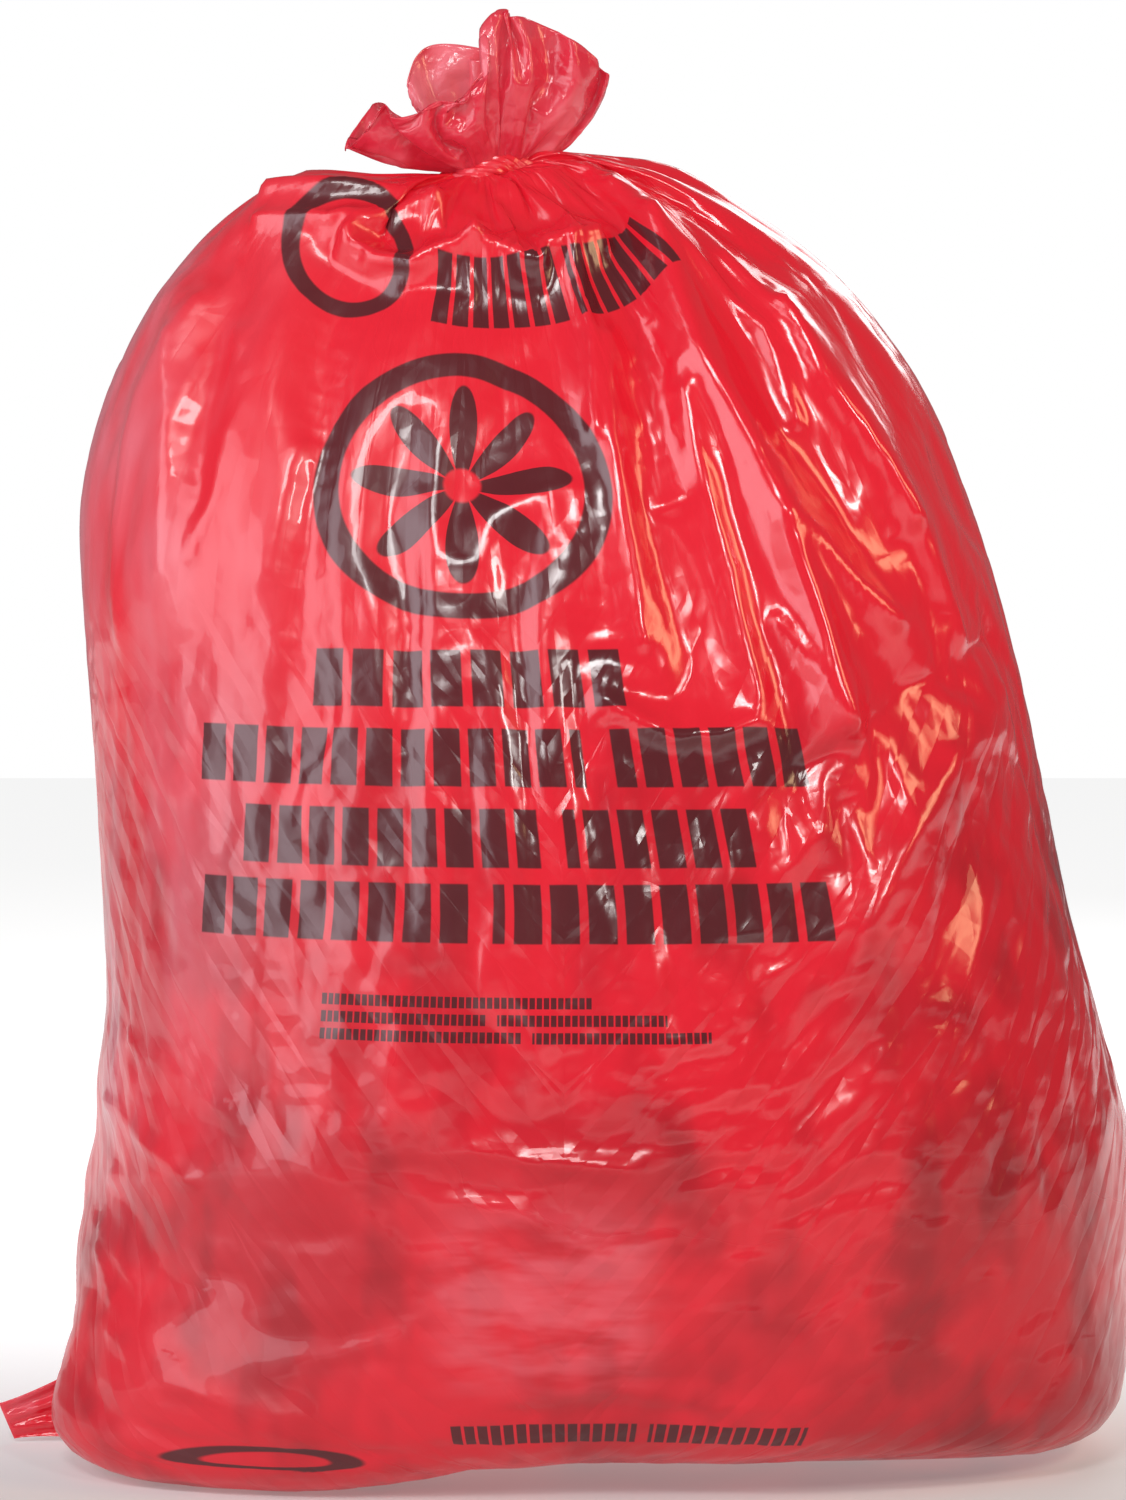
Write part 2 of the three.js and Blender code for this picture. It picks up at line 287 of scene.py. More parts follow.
# %% Drawn folds
# Each fold is its rise and half width in millimetres, and the pixels that it runs through.
DRAWN_FOLDS = [
    (9, 6, [(650, 210), (700, 356), (762, 467), (810, 592), (849, 722)]),
    (5, 4, [(560, 215), (585, 330), (590, 430)]),
    (6, 5, [(610, 180), (690, 250), (765, 330), (800, 420)]),
    (5, 5, [(720, 250), (850, 400), (930, 560), (960, 640)]),
    (5, 5, [(685, 390), (704, 476), (728, 563), (757, 698)]),
    (4, 5, [(603, 332), (608, 438), (642, 640)]),
    (8, 5, [(781, 303), (820, 380), (868, 447), (912, 520)]),
    (6, 6, [(791, 515), (849, 577), (897, 621)]),
    (5, 5, [(776, 621), (820, 674), (849, 731)]),
    (5, 5, [(605, 700), (640, 722), (675, 737), (720, 734), (757, 722)]),
    (-5, 8, [(998, 640), (926, 684), (868, 736), (800, 770)]),
    (3, 4, [(1003, 690), (959, 756), (905, 850), (870, 930)]),
    (2, 4, [(1030, 800), (985, 900), (960, 1010)]),
    (3, 5, [(171, 337), (167, 463), (163, 574)]),
    (3, 5, [(240, 330), (234, 367), (215, 500), (189, 559)]),
    (3, 5, [(297, 448), (282, 522), (267, 574)]),
    (4, 6, [(200, 300), (140, 400), (118, 520), (125, 640)]),
    (7, 4, [(272, 186), (330, 182), (395, 187), (437, 197)]),
    (7, 4, [(262, 217), (330, 212), (400, 206), (440, 201)]),
    (8, 4, [(348, 222), (379, 245), (413, 256), (441, 248), (470, 238)]),
    (8, 4, [(470, 238), (502, 248), (530, 256), (557, 240), (589, 222)]),
    (-6, 9, [(385, 212), (440, 222), (500, 222), (560, 208)]),
    (5, 5, [(504, 182), (569, 166), (600, 158)]),
    (3, 3, [(104, 1100), (150, 1150), (190, 1180)]),
    (2, 3, [(106, 1178), (150, 1181), (190, 1180)]),
    (2, 3, [(98, 1225), (120, 1262), (142, 1292)]),
    (2, 3, [(94, 1246), (117, 1303), (175, 1357), (228, 1395), (290, 1437)]),
    (2, 3, [(130, 1040), (220, 1110), (330, 1180), (400, 1260)]),
    (2, 3, [(120, 1330), (200, 1390), (300, 1420)]),
    (-3, 5, [(130, 1400), (209, 1441), (290, 1458), (385, 1455)]),
    (3, 4, [(470, 1150), (540, 1162), (625, 1168)]),
    (3, 4, [(462, 1202), (520, 1215), (610, 1262)]),
]


def near_line(points, line):
    """How far each point is from a line of straight stretches, at most."""
    best = np.full(points.shape[:-1], np.inf)
    for a, b in zip(line[:-1], line[1:]):
        d = b - a
        t = np.clip(((points - a) @ d) / (d @ d), 0, 1)
        best = np.minimum(best, np.linalg.norm(points - a - t[..., None] * d, axis=-1))
    return best


drawn = np.zeros(smooth.shape[:2])
for rise, half_width, pixels in DRAWN_FOLDS:
    line = np.array([on_form(pixel) for pixel in pixels])
    away = near_line(smooth, line) / (half_width * MM)
    drawn += rise * MM * np.exp(0.3 - np.sqrt(away * away + 0.09))
base = smooth + (lumps + packet + drawn)[:, :, None] * outward
print(len(DRAWN_FOLDS), "drawn folds")

# %% [markdown]
# Two places of the form are trimmed to the picture: the shoulders sink a little beside the neck,
# where the gathered film pulls them down, and the lower corner in front of the ear fills out.

# %% Trim the form
SHOULDER_DROP = 4 * MM
CORNER_REACH = 22 * MM

beside_neck = np.abs(base[:, :, 0] - NECK.x)
sinks = smoothstep(25 * MM, 60 * MM, beside_neck) * (1 - smoothstep(130 * MM, 190 * MM, beside_neck))
base[:, :, 2] -= SHOULDER_DROP * sinks * smoothstep(560 * MM, 620 * MM, smooth[:, :, 2])
fills = smoothstep(120 * MM, 210 * MM, -smooth[:, :, 0]) * smoothstep(20 * MM, 90 * MM, -smooth[:, :, 1])
base[:, :, 0] -= CORNER_REACH * fills * (1 - smoothstep(20 * MM, 110 * MM, smooth[:, :, 2]))
print("shoulders sink by", SHOULDER_DROP, "m, the corner fills by", CORNER_REACH, "m")

# %% [markdown]
# ## Letting the film buckle
#
# Polythene film doesn't stretch, so a ring that is narrower than the flat tube has film to spare,
# and that spare width has to go somewhere: it buckles. Blender's Cloth is the usual way to make
# such folds. Here a small relaxation written out in full takes its place, because the film hardly
# moves from where it starts: every tie between two points is pulled back to its rest length, over
# and over, a little stiffness irons out the sharpest bends, and the points stay in a band around
# the form. It is run on a coarse grid first, where the long folds form, and then on two finer
# ones, which add the small creases between them.
#
# The rest length isn't the whole width of the flat film. The upper body would have a tenth to a
# fifth to spare, and the tuft several times its own width. Given more of it, the tuft turned into
# thick round ruffles, and the front of the body into glossy streaks, so the spare is capped, and
# the bag has fewer folds than a real one.

# %% Ties between neighbours
LEVELS = (4, 2, 1)
MOMENTUM = 0.82


def lengths(grid, down, across):
    """How long each tie is from every point to its neighbour some rows up and columns round."""
    start = grid[: len(grid) - down]
    end = np.roll(grid, -across, 1)[down:]
    return np.linalg.norm(end - start, axis=2)


def ties_of(form, step, rule):
    """Every tie of a film with this form, in groups in which no point comes twice."""
    rows, columns = form.shape[:2]
    number = np.arange(rows * columns).reshape(rows, columns)
    wide, long = lengths(form, 0, 1), lengths(form, 1, 0)
    most = wide * (1 + rule["spare"][::step][:, None])
    rest_wide = np.clip(rule["flat_step"] * step, wide, most)
    rest_long = long * (1 + rule["gain"][::step][:-1, None])
    grown = np.hypot(rest_wide[:-1], rest_long) / np.hypot(wide[:-1], long)
    rests = {
        (0, 1): rest_wide,
        (1, 0): rest_long,
        (1, 1): lengths(form, 1, 1) * grown,
        (1, -1): lengths(form, 1, -1) * grown,
    }
    groups = []
    for (down, across), rest in rests.items():
        start = number[: rows - down]
        end = np.roll(number, -across, 1)[down:]
        for parity in (0, 1):
            some = slice(parity, None, 2)
            pick = (some, slice(None)) if down else (slice(None), some)
            groups.append((start[pick].ravel(), end[pick].ravel(), rest[pick].ravel()))
    return groups


# %% Relax a film
def bend_of(grid):
    """How far each point lies from the middle of its four neighbours."""
    above = np.concatenate([grid[1:], grid[-1:]])
    below = np.concatenate([grid[:1], grid[:-1]])
    return (np.roll(grid, 1, 1) + np.roll(grid, -1, 1) + above + below) / 4 - grid


def relax(film, form, step, passes, stiffness, rule):
    """Pulls a film to its own lengths within the band around its form."""
    groups = ties_of(form, step, rule)
    normal = normals_of(form)
    low, high = -rule["room_in"][::step][:, None], rule["room_out"][::step][:, None]
    held = rule["held"][::step]
    before = film.copy()
    for _ in range(passes):
        drift = MOMENTUM * (film - before)
        before = film.copy()
        film = film + drift
        film -= stiffness * bend_of(bend_of(film))
        points = film.reshape(-1, 3)
        for start, end, rest in groups:
            gap = points[end] - points[start]
            size = np.sqrt((gap * gap).sum(axis=1))
            shift = gap * (0.5 - 0.5 * rest / size)[:, None]
            points[start] += shift
            points[end] -= shift
        film = points.reshape(form.shape)
        out = ((film - form) * normal).sum(axis=2)
        film += (np.clip(out, low, high) - out)[:, :, None] * normal
        film[held] = form[held]
    return film


def finer(coarse, rows, columns):
    """The same offsets on a grid with twice as many rows and columns."""
    wide = np.empty((coarse.shape[0], columns, 3))
    wide[:, ::2] = coarse
    wide[:, 1::2] = (coarse + np.roll(coarse, -1, 1)) / 2
    tall = np.empty((rows, columns, 3))
    tall[::2] = wide
    tall[1::2] = (wide[1:] + wide[:-1]) / 2
    return tall


def buckled(form, rule, seed_size, seed):
    """The film's points after it has buckled on a coarse grid and then on finer ones."""
    rng = np.random.default_rng(seed)
    offsets = None
    for step, passes, stiffness in zip(LEVELS, rule["passes"], rule["stiffness"]):
        part = form[::step, ::step]
        if offsets is None:
            start = 2 * MM * waves(part, seed_size, seed)
            offsets = start[:, :, None] * normals_of(part)
        else:
            offsets = finer(offsets, *part.shape[:2])
        offsets += rng.normal(0, rule["noise"], part.shape)
        film = relax(part + offsets, part, step, passes, stiffness, rule)
        offsets = film - part
    return film


# %% Buckle the body
FLAT_WIDTH = 762 * MM
GIRTH = 2 * FLAT_WIDTH

most_spare = 0.01 + 0.03 * smoothstep(0.3, 0.8, share_up)
most_spare += (0.28 - most_spare) * smoothstep(0.86, 0.97, share_up)
body_rule = {
    "flat_step": GIRTH / COLUMNS,
    "spare": most_spare,
    "gain": 0.008 - 0.01 * smoothstep(0.42, 0.6, share_up),
    "room_in": (1.5 + 4 * smoothstep(0.4, 0.85, share_up)) * MM,
    "room_out": (1 + 1.5 * smoothstep(0.4, 0.8, share_up)) * MM,
    "held": (share_up == 1) | (np.arange(ROWS) < UNDERSIDE_ROWS),
    "passes": (120, 90, 60),
    "stiffness": (0.01, 0.005, 0.0015),
    "noise": 0.3 * MM,
}
film = buckled(base, body_rule, 45 * MM, seed=3)
film[:, :, 2] = np.maximum(film[:, :, 2], 0)
folds = ((film - base) * normals_of(base)).sum(axis=2) / MM
print("folds from", round(float(folds.min()), 1), "to", round(float(folds.max()), 1), "mm")

# %% [markdown]
# ## From a grid of points to a mesh
#
# The film becomes a closed skin: quads between the rings, and a fan at the underside and inside
# the knot. Its UV map holds metres on the flat tube, with zero at the middle of the printed
# front, so whatever is printed on the film bends and stretches with the folds as real ink does.
# Around the belly a line of print is level, and over the shoulders it follows the rows.

# %% Skin of the body
def piece_from(name, points, faces, uvs=None):
    """A smooth-shaded mesh object at the origin."""
    mesh = bpy.data.meshes.new(name)
    mesh.from_pydata([tuple(p) for p in points], [], faces)
    mesh.polygons.foreach_set("use_smooth", [True] * len(mesh.polygons))
    if uvs is not None:
        mesh.uv_layers.new(name="film").data.foreach_set("uv", np.asarray(uvs, np.float32).ravel())
    thing = bpy.data.objects.new(name, mesh)
    bpy.context.scene.collection.objects.link(thing)
    return thing


def sleeve_uvs(up, first):
    """Metres round the flat film from the first column, and metres up it, for every quad."""
    columns = up.shape[1]
    unit = GIRTH / columns
    half = columns // 2
    around = ((np.arange(columns) - first + half) % columns - half) * unit
    left = np.tile(around, (len(up) - 1, 1))
    after = np.roll(up, -1, 1)
    corners = [(left, up[:-1]), (left + unit, after[:-1]), (left + unit, after[1:]), (left, up[1:])]
    return np.stack([np.stack(corner, axis=2) for corner in corners], axis=2).reshape(-1, 2)


def height_on_film():
    """Metres up the flat film from its bottom edge, for every point of the body."""
    climb = np.linalg.norm(np.diff(smooth[:, FRONT], axis=0), axis=1)
    by_row = np.concatenate([[0], np.cumsum(climb)]) - climb[:UNDERSIDE_ROWS].sum()
    side = slice(UNDERSIDE_ROWS, int(0.8 * ROWS))
    by_height = np.interp(smooth[:, :, 2], smooth[side, FRONT, 2], by_row[side])
    level = 1 - smoothstep(0.55, 0.8, share_up)
    level[:UNDERSIDE_ROWS] = 0
    return by_row[:, None] + (by_height - by_row[:, None]) * level[:, None]


def body_piece():
    ends = [film[0].mean(axis=0), film[-1].mean(axis=0)]
    up = height_on_film()
    caps = np.zeros((2, COLUMNS * 3, 2))
    caps[0, :, 1], caps[1, :, 1] = up[0, 0], up[-1, 0]
    uvs = np.concatenate([sleeve_uvs(up, FRONT), caps.reshape(-1, 2)])
    points = np.vstack([film.reshape(-1, 3), ends])
    return piece_from("film_body", points, closed_faces(ROWS, COLUMNS), uvs)


FRONT = int(np.argmin(np.abs(azimuths + math.pi / 2)))
body = body_piece()
print("body", len(body.data.polygons), "faces")

# %% [markdown]
# ## The tuft
#
# Above the knot the mouth of the bag springs open again, and it ruffles, because it is the same
# tube of film squeezed into a narrow sleeve. The sleeve is built from a ring inside the knot to a
# slightly ragged rim that is drawn, bulged a little, and then relaxed with the same
# function as the body. Its last row is left free.

# %% Tuft
TUFT_COLUMNS = 256
TUFT_ROWS = 57
TUFT_RIM = [
    (58, 0, 56), (48, 15, 62), (32, 26, 68), (12, 30, 72), (-5, 29, 64), (-15, 29, 70),
    (-33, 25, 66), (-42, 16, 44), (-58, 6, 34), (-74, -10, 21), (-60, -28, 27), (-36, -34, 36),
    (-16, -32, 50), (-4, -26, 70), (6, -22, 80), (22, -20, 78), (44, -14, 68),
]
TUFT_FOOT = 12 * MM
TUFT_BULGE = 14 * MM
RIM_RAGGED = 2.5 * MM


def closed_curve(points, count):
    """A smooth closed line through given points (a Catmull-Rom spline)."""
    p = np.asarray(points, float)
    at = np.linspace(0, len(p), count, endpoint=False)
    k = at.astype(int)
    t = (at - k)[:, None]
    a, b, c, d = (p[(k + shift) % len(p)] for shift in (-1, 0, 1, 2))
    square, cube = 2 * a - 5 * b + 4 * c - d, 3 * b - a - 3 * c + d
    return 0.5 * (2 * b + (c - a) * t + square * t**2 + cube * t**3)


def tuft_form():
    rim = closed_curve(TUFT_RIM, TUFT_COLUMNS) * MM
    rim[:, 2] += RIM_RAGGED * waves(rim, 16 * MM, seed=8)
    angle = np.arange(TUFT_COLUMNS) * 2 * math.pi / TUFT_COLUMNS
    ring = np.stack([np.cos(angle), np.sin(angle), 0 * angle], axis=1)
    t = np.linspace(0, 1, TUFT_ROWS)[:, None, None]
    form = TUFT_FOOT * ring * (1 - t) + rim * t**1.15
    form += TUFT_BULGE * ring * np.sin(math.pi * t) ** 0.8
    return form + np.array(NECK)


tuft_share = np.linspace(0, 1, TUFT_ROWS)
tuft_rule = {
    "flat_step": GIRTH / TUFT_COLUMNS,
    "spare": 0.2 + 0.25 * smoothstep(0.0, 0.5, tuft_share),
    "gain": 0.02 + 0 * tuft_share,
    "room_in": (2 + 6 * smoothstep(0, 0.5, tuft_share)) * MM,
    "room_out": (1 + 3 * smoothstep(0, 0.4, tuft_share)) * MM,
    "held": tuft_share == 0,
    "passes": (120, 80, 60),
    "stiffness": (0.01, 0.015, 0.015),
    "noise": 0.4 * MM,
}
tuft_film = buckled(tuft_form(), tuft_rule, 18 * MM, seed=5)
tuft_up = np.tile(np.linspace(0.8, 1.0, TUFT_ROWS)[:, None], (1, TUFT_COLUMNS))
tuft_faces = sleeve_faces(TUFT_ROWS, TUFT_COLUMNS).tolist()
tuft = piece_from("film_tuft", tuft_film.reshape(-1, 3), tuft_faces, sleeve_uvs(tuft_up, 0))
print("tuft", len(tuft.data.polygons), "faces")

# %% [markdown]
# ## The knot
#
# The neck is pinched by a loop of its own film: a soft rope with deep lengthwise pleats that goes
# once round the neck and tucks under itself. A rope of constant section along a path is what
# Geometry Nodes do well: a star is swept along the loop with Curve to Mesh, its radius swells
# where the film bunches at the front, and its twist makes the pleats run round the rope.

# %% Knot
KNOT_POINTS = 96
KNOT_RADIUS = 15 * MM
KNOT_ROPE = 8.5 * MM
KNOT_PLEAT = 2.6 * MM
KNOT_LIFT = 0 * MM
KNOT_LEAN = 5 * MM


def knot_path():
    """One turn round the neck, lower at the left, with a dip where it tucks under itself."""
    a = np.arange(KNOT_POINTS) * 2 * math.pi / KNOT_POINTS
    reach = KNOT_RADIUS * (1 + 0.12 * np.sin(2 * a + 0.6))
    lift = KNOT_LIFT + KNOT_LEAN * np.cos(a) - 2 * MM * np.cos(3 * a + 1)
    x, y = NECK.x + 1.25 * reach * np.cos(a), NECK.y + reach * np.sin(a)
    return np.stack([x, y, NECK.z + lift], axis=1)


def socket_of(tree, name, kind):
    return tree.interface.new_socket(name=name, in_out="INPUT", socket_type=kind).identifier


def pleated_rope_tree():
    """A star section swept along a closed line, with named inputs for its sizes."""
    tree = bpy.data.node_groups.new("pleated rope", "GeometryNodeTree")
    tree.interface.new_socket(name="Path", in_out="INPUT", socket_type="NodeSocketGeometry")
    ids = {
        name: socket_of(tree, name, kind)
        for name, kind in {
            "Pleats": "NodeSocketInt", "Radius": "NodeSocketFloat", "Depth": "NodeSocketFloat",
            "Turns": "NodeSocketFloat", "Finish": "NodeSocketMaterial",
        }.items()
    }
    tree.interface.new_socket(name="Rope", in_out="OUTPUT", socket_type="NodeSocketGeometry")
    add, wire = tree.nodes.new, tree.links.new
    given = add("NodeGroupInput").outputs

    def maths(operation, a, b):
        node = add("ShaderNodeMath")
        node.operation = operation
        for socket, value in zip(node.inputs, (a, b)):
            if isinstance(value, (int, float)):
                socket.default_value = value
            else:
                wire(value, socket)
        return node.outputs[0]

    line = add("GeometryNodeMeshToCurve")
    wire(given["Path"], line.inputs[0])
    share = add("GeometryNodeSplineParameter").outputs["Factor"]
    turned = add("GeometryNodeSetCurveTilt")
    wire(line.outputs[0], turned.inputs[0])
    twist = maths("MULTIPLY", maths("MULTIPLY", share, given["Turns"]), 2 * math.pi)
    wire(twist, turned.inputs["Tilt"])
    swell = maths("SINE", maths("MULTIPLY", share, 4 * math.pi), 0)
    sized = add("GeometryNodeSetCurveRadius")
    wire(turned.outputs[0], sized.inputs[0])
    wire(maths("ADD", maths("MULTIPLY", swell, 0.18), 1), sized.inputs["Radius"])
    star = add("GeometryNodeCurveStar")
    wire(given["Pleats"], star.inputs["Points"])
    wire(given["Radius"], star.inputs["Outer Radius"])
    wire(maths("SUBTRACT", given["Radius"], given["Depth"]), star.inputs["Inner Radius"])
    soft = add("GeometryNodeFilletCurve")
    wire(star.outputs[0], soft.inputs[0])
    wire(maths("MULTIPLY", given["Depth"], 0.35), soft.inputs["Radius"])
    swept = add("GeometryNodeCurveToMesh")
    wire(sized.outputs[0], swept.inputs["Curve"])
    wire(soft.outputs[0], swept.inputs["Profile Curve"])
    shaded = add("GeometryNodeSetShadeSmooth")
    wire(swept.outputs[0], shaded.inputs[0])
    realized = add("GeometryNodeRealizeInstances")
    wire(shaded.outputs[0], realized.inputs[0])
    coloured = add("GeometryNodeSetMaterial")
    wire(realized.outputs[0], coloured.inputs[0])
    wire(given["Finish"], coloured.inputs["Material"])
    wire(coloured.outputs[0], add("NodeGroupOutput").inputs[0])
    return tree, ids


def baked(name, source, tree, settings):
    """Runs a node tree on an object and keeps the result as a plain mesh piece."""
    run = source.modifiers.new("nodes", "NODES")
    run.node_group = tree
    for identifier, value in settings.items():
        run[identifier] = value
    seen = source.evaluated_get(bpy.context.evaluated_depsgraph_get())
    mesh = bpy.data.meshes.new_from_object(seen)
    mesh.name = name
    source.modifiers.remove(run)
    old = source.data
    source.data = mesh
    source.name = name
    bpy.data.meshes.remove(old)
    return source


tree, ids = pleated_rope_tree()
loop_edges = [(k, (k + 1) % KNOT_POINTS) for k in range(KNOT_POINTS)]
loop_mesh = bpy.data.meshes.new("knot_path")
loop_mesh.from_pydata(knot_path().tolist(), loop_edges, [])
loop = bpy.data.objects.new("knot_path", loop_mesh)
bpy.context.scene.collection.objects.link(loop)
knot = baked("film_knot", loop, tree, {
    ids["Pleats"]: 9, ids["Radius"]: KNOT_ROPE, ids["Depth"]: KNOT_PLEAT, ids["Turns"]: 2.0,
})
print("knot", len(knot.data.polygons), "faces")

# %% [markdown]
# ## The ear
#
# The bottom of the bag is one straight weld. Its corner isn't filled, so it sticks out at the
# left as a flat double tab, pulled into a few creases where it leaves the full part. It is a
# flattened sleeve whose section shrinks towards the tip.

# %% Ear
EAR_ROWS = 40
EAR_COLUMNS = 96
EAR_ROOT = (-232 * MM, -9 * MM, 27 * MM)
EAR_TIP = (-294 * MM, -14 * MM, 11.5 * MM)
EAR_ROOT_HALF = 27 * MM
EAR_TIP_HALF = 9.5 * MM
EAR_TIP_SLANT = 4 * MM


def ear_piece():
    share = np.linspace(0, 1, EAR_ROWS)[:, None]
    angle = np.arange(EAR_COLUMNS) * 2 * math.pi / EAR_COLUMNS
    half = EAR_TIP_HALF + (EAR_ROOT_HALF - EAR_TIP_HALF) * (1 - share) ** 1.3
    thick = (0.7 + 9 * (1 - share) ** 2.5) * MM
    up = np.cos(angle)
    crease = (2.6 * MM * (1 - share) ** 0.5) * np.cos(9 * up + 1.5 * share)
    x = EAR_ROOT[0] + (EAR_TIP[0] - EAR_ROOT[0]) * share + EAR_TIP_SLANT * share**3 * (-up - 0.2)
    y = EAR_ROOT[1] + (EAR_TIP[1] - EAR_ROOT[1]) * share - thick * np.sin(angle) + crease
    z = EAR_ROOT[2] + (EAR_TIP[2] - EAR_ROOT[2]) * share + half * up
    points = np.stack([x + 0 * y, y, z], axis=2)
    ends = [points[0].mean(axis=0), points[-1].mean(axis=0)]
    faces = closed_faces(EAR_ROWS, EAR_COLUMNS)
    return piece_from("film_ear", np.vstack([points.reshape(-1, 3), ends]), faces)


ear = ear_piece()
print("ear", len(ear.data.polygons), "faces")

# %% [markdown]
# ## The waste inside
#
# The filling is loose: crumpled gowns, gloves and pads pressed together. One closed heap fills
# the bag, and a few hundred crumpled lumps lie over its surface. They are scattered by Geometry
# Nodes with a fixed seed, and afterwards any point that would poke through the film is laid
# against its inside, as soft waste is.

# %% Heap and lumps
HEAP_INSET = 16 * MM
HEAP_TOP = 440 * MM
HEAP_CROWN = 30 * MM
LUMP_RADIUS = 27 * MM
LUMP_COUNT_PER_M2 = 330
CLEARANCE = 2.5 * MM


def heap_piece():
    """The form of the bag up to the top of the filling, moved inwards and closed."""
    inside = smooth - HEAP_INSET * normals_of(smooth)
    inside[:, :, 2] = np.clip(inside[:, :, 2], CLEARANCE, None)
    rows = int(np.argmax(inside[:, :, 2].min(axis=1) > HEAP_TOP))
    part = inside[:rows:4, ::4]
    ends = [part[0].mean(axis=0), part[-1].mean(axis=0) + np.array([0, 0, HEAP_CROWN])]
    faces = closed_faces(*part.shape[:2])
    return piece_from("waste_contents", np.vstack([part.reshape(-1, 3), ends]), faces)


def scatter_tree():
    """Crumpled lumps scattered over a heap, joined with the heap itself."""
    tree = bpy.data.node_groups.new("scattered lumps", "GeometryNodeTree")
    tree.interface.new_socket(name="Heap", in_out="INPUT", socket_type="NodeSocketGeometry")
    ids = {
        name: socket_of(tree, name, kind)
        for name, kind in {
            "Density": "NodeSocketFloat", "Size": "NodeSocketFloat",
            "Seed": "NodeSocketInt", "Finish": "NodeSocketMaterial",
        }.items()
    }
    tree.interface.new_socket(name="Waste", in_out="OUTPUT", socket_type="NodeSocketGeometry")
    add, wire = tree.nodes.new, tree.links.new
    given = add("NodeGroupInput").outputs
    spread = add("GeometryNodeDistributePointsOnFaces")
    wire(given["Heap"], spread.inputs["Mesh"])
    wire(given["Density"], spread.inputs["Density"])
    wire(given["Seed"], spread.inputs["Seed"])
    ball = add("GeometryNodeMeshIcoSphere")
    ball.inputs["Subdivisions"].default_value = 3
    ball.inputs["Radius"].default_value = 1
    crumple = add("ShaderNodeTexNoise")
    crumple.inputs["Scale"].default_value = 1.6
    crumple.inputs["Detail"].default_value = 3
    pushed = add("ShaderNodeVectorMath")
    pushed.operation = "SUBTRACT"
    pushed.inputs[1].default_value = (0.5, 0.5, 0.5)
    wire(crumple.outputs["Color"], pushed.inputs[0])
    moved = add("GeometryNodeSetPosition")
    wire(ball.outputs[0], moved.inputs["Geometry"])
    wire(pushed.outputs[0], moved.inputs["Offset"])
    turn = add("FunctionNodeRandomValue")
    turn.data_type = "FLOAT_VECTOR"
    turn.inputs["Max"].default_value = (6.28, 6.28, 6.28)
    wire(given["Seed"], turn.inputs["Seed"])
    size = add("FunctionNodeRandomValue")
    size.data_type = "FLOAT_VECTOR"
    size.inputs["Min"].default_value = (0.5, 0.5, 0.3)
    size.inputs["Max"].default_value = (1.5, 1.2, 0.6)
    wire(given["Seed"], size.inputs["Seed"])
    scaled = add("ShaderNodeVectorMath")
    scaled.operation = "SCALE"
    wire(size.outputs["Value"], scaled.inputs[0])
    wire(given["Size"], scaled.inputs["Scale"])
    placed = add("GeometryNodeInstanceOnPoints")
    wire(spread.outputs["Points"], placed.inputs["Points"])
    wire(moved.outputs[0], placed.inputs["Instance"])
    wire(turn.outputs["Value"], placed.inputs["Rotation"])
    wire(scaled.outputs[0], placed.inputs["Scale"])
    both = add("GeometryNodeJoinGeometry")
    wire(placed.outputs[0], both.inputs[0])
    wire(given["Heap"], both.inputs[0])
    realized = add("GeometryNodeRealizeInstances")
    wire(both.outputs[0], realized.inputs[0])
    coloured = add("GeometryNodeSetMaterial")
    wire(realized.outputs[0], coloured.inputs[0])
    wire(given["Finish"], coloured.inputs["Material"])
    wire(coloured.outputs[0], add("NodeGroupOutput").inputs[0])
    return tree, ids


def kept_inside(piece, skin):
    """Lays every point that is less than the clearance inside the skin against it."""
    tree = BVHTree.FromObject(skin, bpy.context.evaluated_depsgraph_get())
    moved = 0
    for vertex in piece.data.vertices:
        near, normal, _, _ = tree.find_nearest(vertex.co)
        depth = (near - vertex.co).dot(normal)
        if depth < CLEARANCE:
            vertex.co = near - normal * CLEARANCE
            moved += 1
        vertex.co.z = max(vertex.co.z, CLEARANCE)
    return moved


heap = heap_piece()
tree, ids = scatter_tree()
waste = baked("waste_contents", heap, tree, {
    ids["Density"]: LUMP_COUNT_PER_M2, ids["Size"]: LUMP_RADIUS, ids["Seed"]: 4,
})
print("waste", len(waste.data.polygons), "faces")
print(kept_inside(waste, body), "points laid against the film")

# %% [markdown]
# ## A small language for materials
#
# A material is arithmetic on the place of a point: is it inside this stripe, how dark is this
# blotch. Wrapping an output in a small class with plus, minus, times and divide lets that
# arithmetic be written down as such, and one method makes every other node.

